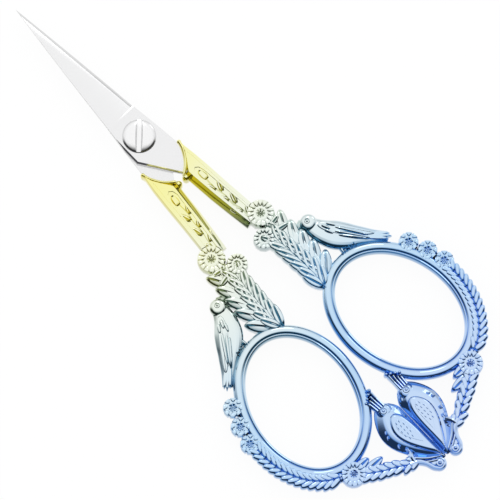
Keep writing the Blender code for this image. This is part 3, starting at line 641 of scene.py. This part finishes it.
def turned_screw():
    """The domed head, lathed, with its slot, and the plain shank."""
    dome_radius, dome_foot, dome_rise = 3.45, 1.85, 0.71
    head_radius, head_seat = 3.5, 1.5
    shank_radius, shank_end = 1.5, -1.65
    profile = [(0.0, dome_foot + dome_rise)]
    for step in range(1, 11):
        angle = math.radians(9 * step)
        profile.append((dome_radius * math.sin(angle), dome_foot + dome_rise * math.cos(angle)))
    profile += [(head_radius, 1.72), (3.38, head_seat), (shank_radius, head_seat), (shank_radius, -1.6),
                (1.4, shank_end), (0.0, shank_end)]
    bpy.ops.mesh.primitive_plane_add()
    made = bpy.context.object
    made.name = "screw"
    shape = bmesh.new()
    knots = [shape.verts.new((x, 0, z)) for x, z in profile]
    for a, b in zip(knots, knots[1:]):
        shape.edges.new((a, b))
    shape.to_mesh(made.data)
    shape.free()
    bpy.ops.object.mode_set(mode="EDIT")
    bpy.ops.mesh.select_all(action="SELECT")
    bpy.ops.mesh.spin(steps=96, angle=2 * math.pi, center=(0, 0, 0), axis=(0, 0, 1))
    bpy.ops.object.mode_set(mode="OBJECT")
    weld()
    bpy.ops.mesh.primitive_cube_add(size=1)
    slot = bpy.context.object
    slot_floor_share = 0.42
    for corner in slot.data.vertices:
        corner.co.y *= 1.0 if corner.co.z > 0 else slot_floor_share
    turn = Matrix.Rotation(math.radians(45), 4, "Z")
    slot.data.transform(Matrix.Translation((0, 0, 2.5)) @ turn @ Matrix.Diagonal((9, 2.1, 1.2, 1)))
    cut(made, slot)
    rounded_edges(made, 0.06, angle=40)
    return made


def dressed_blade(solid):
    """The CAD blade with a chamfered heel and its other edges eased."""
    made = copied(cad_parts[solid], Matrix.Diagonal((1 / MM, 1 / MM, 1 / MM, 1)))
    made.data.transform(Matrix.Translation(-PIVOT))
    for key in list(made.keys()):
        del made[key]
    made.parent = None
    made.name = solid + "_ground"
    take(made)
    bpy.ops.object.mode_set(mode="EDIT")
    bpy.ops.mesh.select_all(action="SELECT")
    bpy.ops.mesh.remove_doubles(threshold=1e-3)
    bpy.ops.mesh.dissolve_limited(angle_limit=math.radians(0.4))
    bpy.ops.object.mode_set(mode="OBJECT")
    # The heel's edges are the long ones of the outer face below the pivot, away from the back of the blade
    outer = max(abs(corner.co.z) for corner in made.data.vertices) - 0.02
    heel_top, heel_side = 0.5, 2.3
    weight = made.data.attributes.new("bevel_weight_edge", "FLOAT", "EDGE")
    for edge in made.data.edges:
        ends = [made.data.vertices[end].co for end in edge.vertices]
        long = (ends[0] - ends[1]).length > 1
        if long and all(abs(end.z) > outer and end.y < heel_top and end.x * end.z < heel_side for end in ends):
            weight.data[edge.index].value = 1.0
    step = made.modifiers.new("heel", "BEVEL")
    step.limit_method = "WEIGHT"
    step.width = 0.5
    step.segments = 1
    apply_all(made)
    made.data.attributes.remove(made.data.attributes["bevel_weight_edge"])
    rounded_edges(made, 0.14, angle=30)
    return made


# Finishes


def new_group(name, outputs):
    """An empty node group, and the node that its outputs come from."""
    tree = bpy.data.node_groups.new(name, "ShaderNodeTree")
    for label, kind in outputs:
        tree.interface.new_socket(label, in_out="OUTPUT", socket_type=kind)
    return tree, tree.nodes.new("NodeGroupOutput")


def add_input(tree, label, value):
    socket = tree.interface.new_socket(label, in_out="INPUT", socket_type="NodeSocketFloat")
    socket.default_value = value


def node(tree, kind, **settings):
    """A new node with the given settings."""
    made = tree.nodes.new(kind)
    for key, value in settings.items():
        setattr(made, key, value)
    return made


def maths(tree, operation, first, second=None, third=None):
    """A Math node fed by sockets or plain numbers. Returns its result."""
    made = node(tree, "ShaderNodeMath", operation=operation)
    for number, value in enumerate((first, second, third)):
        if value is None:
            continue
        if isinstance(value, (int, float)):
            made.inputs[number].default_value = value
        else:
            tree.links.new(value, made.inputs[number])
    return made.outputs[0]


def spread(tree, value, low, high, to_low=0.0, to_high=1.0, smooth=False):
    """Maps value from low..high to to_low..to_high, held at both ends."""
    made = node(tree, "ShaderNodeMapRange")
    if smooth:
        made.interpolation_type = "SMOOTHSTEP"
    tree.links.new(value, made.inputs["Value"])
    for label, number in (("From Min", low), ("From Max", high), ("To Min", to_low), ("To Max", to_high)):
        made.inputs[label].default_value = number
    return made.outputs["Result"]


def toward_shade(tree, direction):
    """How far a direction points to the shaded side, from -1 to 1."""
    made = node(tree, "ShaderNodeVectorMath", operation="DOT_PRODUCT")
    made.inputs[1].default_value = SHADE_SIDE
    tree.links.new(direction, made.inputs[0])
    return made.outputs["Value"]


def ramp(tree, factor, stops, interpolation="B_SPLINE"):
    """A colour from a row of (place, colour) stops."""
    made = node(tree, "ShaderNodeValToRGB")
    strip = made.color_ramp
    strip.interpolation = interpolation
    while len(strip.elements) < len(stops):
        strip.elements.new(0.5)
    for element, (place, colour) in zip(strip.elements, stops):
        element.position = place
        element.color = (*colour, 1)
    tree.links.new(factor, made.inputs["Fac"])
    return made.outputs["Color"]


# The plating's colours from the collar, at 0, to the scroll, at 1: first the lit ones, then darker ones used as painted
# shade
BRIGHT_STOPS = (
    (0.00, (0.96, 0.92, 0.36)), (0.10, (0.95, 0.94, 0.50)), (0.18, (0.93, 0.95, 0.72)), (0.27, (0.91, 0.95, 0.83)),
    (0.34, (0.85, 0.92, 0.87)), (0.42, (0.78, 0.88, 0.91)), (0.50, (0.66, 0.82, 0.94)), (0.62, (0.50, 0.72, 0.95)),
    (0.74, (0.52, 0.71, 0.96)), (0.86, (0.56, 0.72, 0.97)), (1.00, (0.62, 0.75, 0.97)),
)
# Darker plating colours, painted as shade on walls turned to the shaded side and in recesses
SHADED_PLATING_STOPS = (
    (0.00, (0.76, 0.62, 0.03)), (0.14, (0.60, 0.52, 0.03)), (0.24, (0.28, 0.31, 0.07)), (0.33, (0.06, 0.13, 0.12)),
    (0.46, (0.05, 0.21, 0.34)), (0.58, (0.07, 0.26, 0.60)), (0.80, (0.09, 0.27, 0.70)), (1.00, (0.14, 0.32, 0.76)),
)


def fading_plate_group():
    """Bright plating colours, and darker ones for painted shade, which fade from the collar's gold to the scroll's
    blue.
    """
    collar_y, scroll_y = 0.0208, -0.0650
    halves_blend = 0.0012
    clouding = 0.06
    tree, out = new_group("fading_plate", (("Bright", "NodeSocketColor"), ("Painted shade", "NodeSocketColor")))
    place = node(tree, "ShaderNodeTexCoord")
    cloud = node(tree, "ShaderNodeTexNoise")
    cloud.inputs["Scale"].default_value = 60
    split = node(tree, "ShaderNodeSeparateXYZ")
    tree.links.new(place.outputs["Object"], cloud.inputs["Vector"])
    tree.links.new(place.outputs["Object"], split.inputs[0])
    reach = spread(tree, split.outputs["Y"], collar_y, scroll_y)
    front = spread(tree, split.outputs["X"], -halves_blend, halves_blend, -0.03, 0.04, smooth=True)
    drift = maths(tree, "MULTIPLY_ADD", cloud.outputs["Fac"], clouding, maths(tree, "ADD", reach, front))
    fade = maths(tree, "SUBTRACT", drift, clouding / 2)
    tree.links.new(ramp(tree, fade, BRIGHT_STOPS), out.inputs["Bright"])
    tree.links.new(ramp(tree, fade, SHADED_PLATING_STOPS), out.inputs["Painted shade"])
    return tree


def slope_group():
    """Painted shade on the casting, by how steep or how low in the relief a place is and how far it faces the shaded
    side: 0 on the crown, up to 1 on a shaded wall.
    """
    tree, out = new_group("slope", (("Mask", "NodeSocketFloat"),))
    add_input(tree, "Crown", 0.0024)
    given = node(tree, "NodeGroupInput")
    place = node(tree, "ShaderNodeTexCoord")
    lean = node(tree, "ShaderNodeSeparateXYZ")
    split = node(tree, "ShaderNodeSeparateXYZ")
    tree.links.new(place.outputs["Normal"], lean.inputs[0])
    tree.links.new(place.outputs["Object"], split.inputs[0])
    upright = maths(tree, "ABSOLUTE", lean.outputs["Z"])
    toward = toward_shade(tree, place.outputs["Normal"])
    # Painted shade: walls turned to the shaded side get more of the darker colour
    shaded = spread(tree, toward, -0.10, 0.35, 0.14, 1.0, smooth=True)
    steep = maths(tree, "MULTIPLY", spread(tree, upright, 0.98, 0.88, smooth=True), shaded)
    steep = maths(tree, "MULTIPLY", spread(tree, upright, 0.55, 0.20, 1.0, 0.45, smooth=True), steep)
    level = maths(tree, "ABSOLUTE", maths(tree, "SUBTRACT", split.outputs["Z"], PIVOT.z * MM))
    # Painted shade in recesses: places low in the relief get the darker colour, more so on the shaded side
    low = spread(tree, maths(tree, "DIVIDE", level, given.outputs["Crown"]), 0.66, 0.40, to_high=0.35, smooth=True)
    low = maths(tree, "MULTIPLY", low, spread(tree, toward, -0.30, 0.10, 0.25, 1.0, smooth=True))
    tree.links.new(maths(tree, "MAXIMUM", steep, low), out.inputs["Mask"])
    return tree


def cast_skin_group():
    """The slight ripple and uneven polish of a plated casting."""
    tree, out = new_group("cast_skin", (("Roughness", "NodeSocketFloat"), ("Height", "NodeSocketFloat")))
    polish = 0.015
    place = node(tree, "ShaderNodeTexCoord")
    ripple = node(tree, "ShaderNodeTexNoise")
    ripple.inputs["Scale"].default_value = 420
    ripple.inputs["Detail"].default_value = 1.5
    smear = node(tree, "ShaderNodeTexNoise")
    smear.inputs["Scale"].default_value = 150
    tree.links.new(place.outputs["Object"], ripple.inputs["Vector"])
    tree.links.new(place.outputs["Object"], smear.inputs["Vector"])
    rough = maths(tree, "MULTIPLY_ADD", smear.outputs["Fac"], 0.05, polish)
    tree.links.new(rough, out.inputs["Roughness"])
    tree.links.new(ripple.outputs["Fac"], out.inputs["Height"])
    return tree


def grind_and_shade_group():
    """Fine lines left across the steel by the wheel, and painted shade in the steel's tone."""
    tree, out = new_group("grinding_and_shade", (
        ("Tone", "NodeSocketFloat"), ("Roughness", "NodeSocketFloat"), ("Height", "NodeSocketFloat"),
    ))
    add_input(tree, "Coarseness", 1.0)
    add_input(tree, "Shaded", 0.8)
    given = node(tree, "NodeGroupInput")
    place = node(tree, "ShaderNodeTexCoord")
    stretch = node(tree, "ShaderNodeMapping")
    stretch.inputs["Scale"].default_value = (60, 5200, 60)
    lines = node(tree, "ShaderNodeTexNoise")
    lines.inputs["Scale"].default_value = 1
    lines.inputs["Detail"].default_value = 3
    tree.links.new(place.outputs["Object"], stretch.inputs["Vector"])
    tree.links.new(stretch.outputs["Vector"], lines.inputs["Vector"])
    tree.links.new(spread(tree, lines.outputs["Fac"], 0, 1, 0.12, 0.22), out.inputs["Roughness"])
    lean = node(tree, "ShaderNodeSeparateXYZ")
    tree.links.new(place.outputs["Normal"], lean.inputs[0])
    # Painted shade: steep faces are darker, and faces turned to the shaded side darker by Shaded
    edge = spread(tree, maths(tree, "ABSOLUTE", lean.outputs["Z"]), 0.90, 0.97, 0.84, 1.0)
    turned = spread(tree, toward_shade(tree, place.outputs["Normal"]), 0.12, 0.38, smooth=True)
    lit = maths(tree, "SUBTRACT", 1.0, maths(tree, "MULTIPLY", turned, given.outputs["Shaded"]))
    tone = maths(tree, "MULTIPLY", spread(tree, lines.outputs["Fac"], 0.2, 0.8, 0.975, 1.0), lit)
    tree.links.new(maths(tree, "MULTIPLY", tone, edge), out.inputs["Tone"])
    tree.links.new(maths(tree, "MULTIPLY", lines.outputs["Fac"], given.outputs["Coarseness"]), out.inputs["Height"])
    return tree


def placed_group(tree, group):
    made = node(tree, "ShaderNodeGroup")
    made.node_tree = group
    return made


def blank_material(name):
    """A bare metal: the material, its node tree and its shader."""
    made = bpy.data.materials.new(name)
    made.use_nodes = True
    shader = made.node_tree.nodes["Principled BSDF"]
    shader.inputs["Metallic"].default_value = 1.0
    return made, made.node_tree, shader


def bumped(tree, shader, height, strength, distance):
    """Gives a shader fine relief, from a height socket, as deep as distance in metres."""
    bump = node(tree, "ShaderNodeBump")
    bump.inputs["Strength"].default_value = strength
    bump.inputs["Distance"].default_value = distance
    tree.links.new(height, bump.inputs["Height"])
    tree.links.new(bump.outputs["Normal"], shader.inputs["Normal"])


def plating(name, crown, groups):
    """The fading plating for castings whose relief is crown high, with painted shade mixed into its colour."""
    made, tree, shader = blank_material(name)
    colours = placed_group(tree, groups["colours"])
    skin = placed_group(tree, groups["skin"])
    slope = placed_group(tree, groups["slope"])
    slope.inputs["Crown"].default_value = crown * MM / 2
    # Mixes the darker colour in as painted shade, where the mask says
    mix = node(tree, "ShaderNodeMix", data_type="RGBA")
    tree.links.new(slope.outputs["Mask"], mix.inputs["Factor"])
    tree.links.new(colours.outputs["Bright"], mix.inputs[6])
    tree.links.new(colours.outputs["Painted shade"], mix.inputs[7])
    tree.links.new(mix.outputs[2], shader.inputs["Base Color"])
    tree.links.new(skin.outputs["Roughness"], shader.inputs["Roughness"])
    bumped(tree, shader, skin.outputs["Height"], 0.4, 0.00003)
    return made


def steel(name, colour, coarseness, shaded, group):
    """Ground steel. Its lines are as deep as coarseness says, and its colour carries painted shade: steep faces darker,
    and walls on the shaded side darker by shaded.
    """
    made, tree, shader = blank_material(name)
    lines = placed_group(tree, group)
    lines.inputs["Coarseness"].default_value = coarseness
    lines.inputs["Shaded"].default_value = shaded
    shade = node(tree, "ShaderNodeMix", data_type="RGBA", blend_type="MULTIPLY")
    shade.inputs["Factor"].default_value = 1.0
    shade.inputs[6].default_value = (*colour, 1)
    tree.links.new(lines.outputs["Tone"], shade.inputs[7])
    tree.links.new(shade.outputs[2], shader.inputs["Base Color"])
    tree.links.new(lines.outputs["Roughness"], shader.inputs["Roughness"])
    bumped(tree, shader, lines.outputs["Height"], 0.08, 0.00001)
    return made


# Studio


def band(tree, value, start, full, fade, end):
    """1 between full and fade, easing to 0 at start and at end."""
    rise = spread(tree, value, start, full, smooth=True)
    return maths(tree, "MULTIPLY", rise, spread(tree, value, end, fade, smooth=True))


def pale_floor():
    """A wide floor just under the scissors, close to even white for the camera and never mirrored in the metal."""
    bpy.ops.mesh.primitive_plane_add(size=3, location=(0, 0, -0.0002))
    floor = bpy.context.object
    floor.name = "floor"
    floor.visible_glossy = False
    pale = bpy.data.materials.new("pale_floor")
    pale.use_nodes = True
    tree = pale.node_tree
    shader = tree.nodes["Principled BSDF"]
    shader.inputs["Base Color"].default_value = (0.92, 0.92, 0.93, 1)
    shader.inputs["Roughness"].default_value = 0.9
    glow = node(tree, "ShaderNodeEmission")
    rays = node(tree, "ShaderNodeLightPath")
    seen = maths(tree, "MAXIMUM", rays.outputs["Is Camera Ray"], rays.outputs["Is Glossy Ray"])
    seen = maths(tree, "MAXIMUM", seen, rays.outputs["Is Transmission Ray"])
    blend = node(tree, "ShaderNodeMixShader")
    glow.inputs["Strength"].default_value = 1.03
    tree.links.new(maths(tree, "MULTIPLY", seen, 0.90), blend.inputs["Fac"])
    tree.links.new(shader.outputs[0], blend.inputs[1])
    tree.links.new(glow.outputs[0], blend.inputs[2])
    tree.links.new(blend.outputs[0], tree.nodes["Material Output"].inputs["Surface"])
    floor.data.materials.append(pale)


def studio_room():
    """White light all round, and for the metal to mirror a bright room with dark bands on its walls."""
    room = bpy.data.worlds.new("studio_room")
    room.use_nodes = True
    bpy.context.scene.world = room
    tree = room.node_tree
    base = tree.nodes["Background"]
    base.inputs["Color"].default_value = (1, 1, 1, 1)
    base.inputs["Strength"].default_value = 0.8
    walls = node(tree, "ShaderNodeBackground")
    walls.inputs["Strength"].default_value = 0.97
    place = node(tree, "ShaderNodeTexCoord")
    split = node(tree, "ShaderNodeSeparateXYZ")
    tree.links.new(place.outputs["Generated"], split.inputs[0])
    front = spread(tree, toward_shade(tree, place.outputs["Generated"]), -0.20, 0.30, smooth=True)
    dado = band(tree, split.outputs["Z"], -0.60, -0.35, 0.66, 0.76)
    cellar = spread(tree, split.outputs["Z"], -0.35, -0.60, 0.0, 0.15, smooth=True)
    cornice = band(tree, split.outputs["Z"], 0.82, 0.85, 0.88, 0.92)
    skirting = band(tree, split.outputs["Z"], 0.04, 0.10, 0.24, 0.32)
    cornice_share, skirting_share = 0.12, 0.35
    darkest = (0.10, 0.10, 0.11)
    shadow = maths(tree, "MAXIMUM", dado, cellar)
    dark = maths(tree, "MULTIPLY", front, maths(tree, "MULTIPLY_ADD", cornice, cornice_share, shadow))
    dark = maths(tree, "MAXIMUM", dark, maths(tree, "MULTIPLY", skirting, skirting_share))
    shade = ramp(tree, dark, [(0.0, (1, 1, 1)), (1.0, darkest)], "LINEAR")
    tree.links.new(shade, walls.inputs["Color"])
    rays = node(tree, "ShaderNodeLightPath")
    pick = node(tree, "ShaderNodeMixShader")
    backdrop = node(tree, "ShaderNodeBackground")
    backdrop.inputs["Color"].default_value = (1, 1, 1, 1)
    shown = node(tree, "ShaderNodeMixShader")
    mirrored = maths(tree, "MAXIMUM", rays.outputs["Is Glossy Ray"], rays.outputs["Is Transmission Ray"])
    tree.links.new(mirrored, pick.inputs["Fac"])
    tree.links.new(base.outputs[0], pick.inputs[1])
    tree.links.new(walls.outputs[0], pick.inputs[2])
    tree.links.new(rays.outputs["Is Camera Ray"], shown.inputs["Fac"])
    tree.links.new(pick.outputs[0], shown.inputs[1])
    tree.links.new(backdrop.outputs[0], shown.inputs[2])
    tree.links.new(shown.outputs[0], tree.nodes["World Output"].inputs["Surface"])


def soft_lamps():
    """Two small area lamps that look at the middle of the floor."""
    for name, spot, power in (("key_lamp", (0.27, 0.30, 0.44), 0.09), ("side_lamp", (0.42, 0.05, 0.20), 0.05)):
        bpy.ops.object.light_add(type="AREA", location=spot)
        lamp = bpy.context.object
        lamp.name = name
        lamp.data.size = 0.14
        lamp.data.energy = power
        lamp.rotation_euler = (-Vector(spot)).to_track_quat("-Z", "Y").to_euler()


def camera():
    """The photograph's view: from nearly overhead, with the tips to the upper left."""
    azimuth, elevation = math.radians(316.39), math.radians(80)
    distance = 0.8546
    aim = (Vector((0.29, -32.75, 0)) + PIVOT) * MM
    level = math.cos(elevation)
    back = Vector((math.sin(azimuth) * level, -math.cos(azimuth) * level, math.sin(elevation)))
    bpy.ops.object.camera_add(location=aim + back * distance)
    made = bpy.context.object
    made.rotation_euler = (-back).to_track_quat("-Z", "Y").to_euler()
    made.data.lens = 300
    made.data.sensor_width = 36
    bpy.context.scene.camera = made


# Assembly


def finish_piece(piece, material, body, solid, crease):
    """Moves a piece to its place in metres, gives it its finish and hides the solid whose looks it replaces."""
    piece.data.transform(ROW_FROM_PIVOT)
    piece.data.materials.clear()
    piece.data.materials.append(material)
    take(piece)
    bpy.ops.object.shade_smooth_by_angle(angle=math.radians(crease))
    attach(piece, body)
    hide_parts(solid)


def main():
    """Makes the finishes, the front handle, its twin turned over, the steel pieces, the room and the camera."""
    groups = {"colours": fading_plate_group(), "skin": cast_skin_group(), "slope": slope_group()}
    cast_finish = plating("fading_plating", CASTING_HEIGHT, groups)
    bow_finish = plating("fading_plating_on_bow", BOW_HEIGHT, groups)
    bird_finish = plating("fading_plating_on_bird", BIRD_HEIGHT + 0.3, groups)
    ground = grind_and_shade_group()
    # The shaded values set how much painted shade the blades' and the screw's steel carry on the shaded side
    blade_steel = steel("ground_steel", (0.90, 0.90, 0.905), coarseness=1.0, shaded=0.15, group=ground)
    screw_steel = steel("polished_steel", (0.96, 0.96, 0.965), coarseness=0.4, shaded=0.7, group=ground)

    casting = [(bow(), bow_finish), (shoulder_bird(), bird_finish), (love_bird(), bird_finish)]
    pieces = [shank(), collar_rim(), panel_vine(), sprigs(), garland(), lower_spray()]
    pieces.append(daisy("big_daisy", *BIG_DAISY, radius=2.95, petals=15))
    pieces.append(daisy("small_daisy", *SMALL_DAISY, radius=2.25, petals=13))
    pieces.append(daisy("lower_daisy", *LOWER_DAISY, radius=2.65, petals=14))
    for number, (x, y) in enumerate(BLOSSOMS):
        pieces.append(blossom(f"blossom_{number}", x, y, BLOSSOM_RADIUS))
    casting += [(piece, cast_finish) for piece in pieces]
    discard(leaf, petal, leaflet, feather, quill)

    for piece, finish in casting:
        turned = copied(piece, TURN_OVER)
        turned.name = "rear_" + piece.name
        piece.name = "front_" + piece.name
        for made, body, solid in ((piece, "front_half", "front_handle"), (turned, "rear_half", "rear_handle")):
            finish_piece(made, finish, body, solid, CAST_CREASE)
    for body, solid in (("front_half", "front_blade"), ("rear_half", "rear_blade")):
        finish_piece(dressed_blade(solid), blade_steel, body, solid, BLADE_CREASE)
    finish_piece(turned_screw(), screw_steel, "rear_half", "pivot_screw", SCREW_CREASE)
    pale_floor()
    studio_room()
    soft_lamps()
    camera()


main()
bpy.context.scene.view_settings.view_transform = "Standard"
bpy.context.view_layer.update()
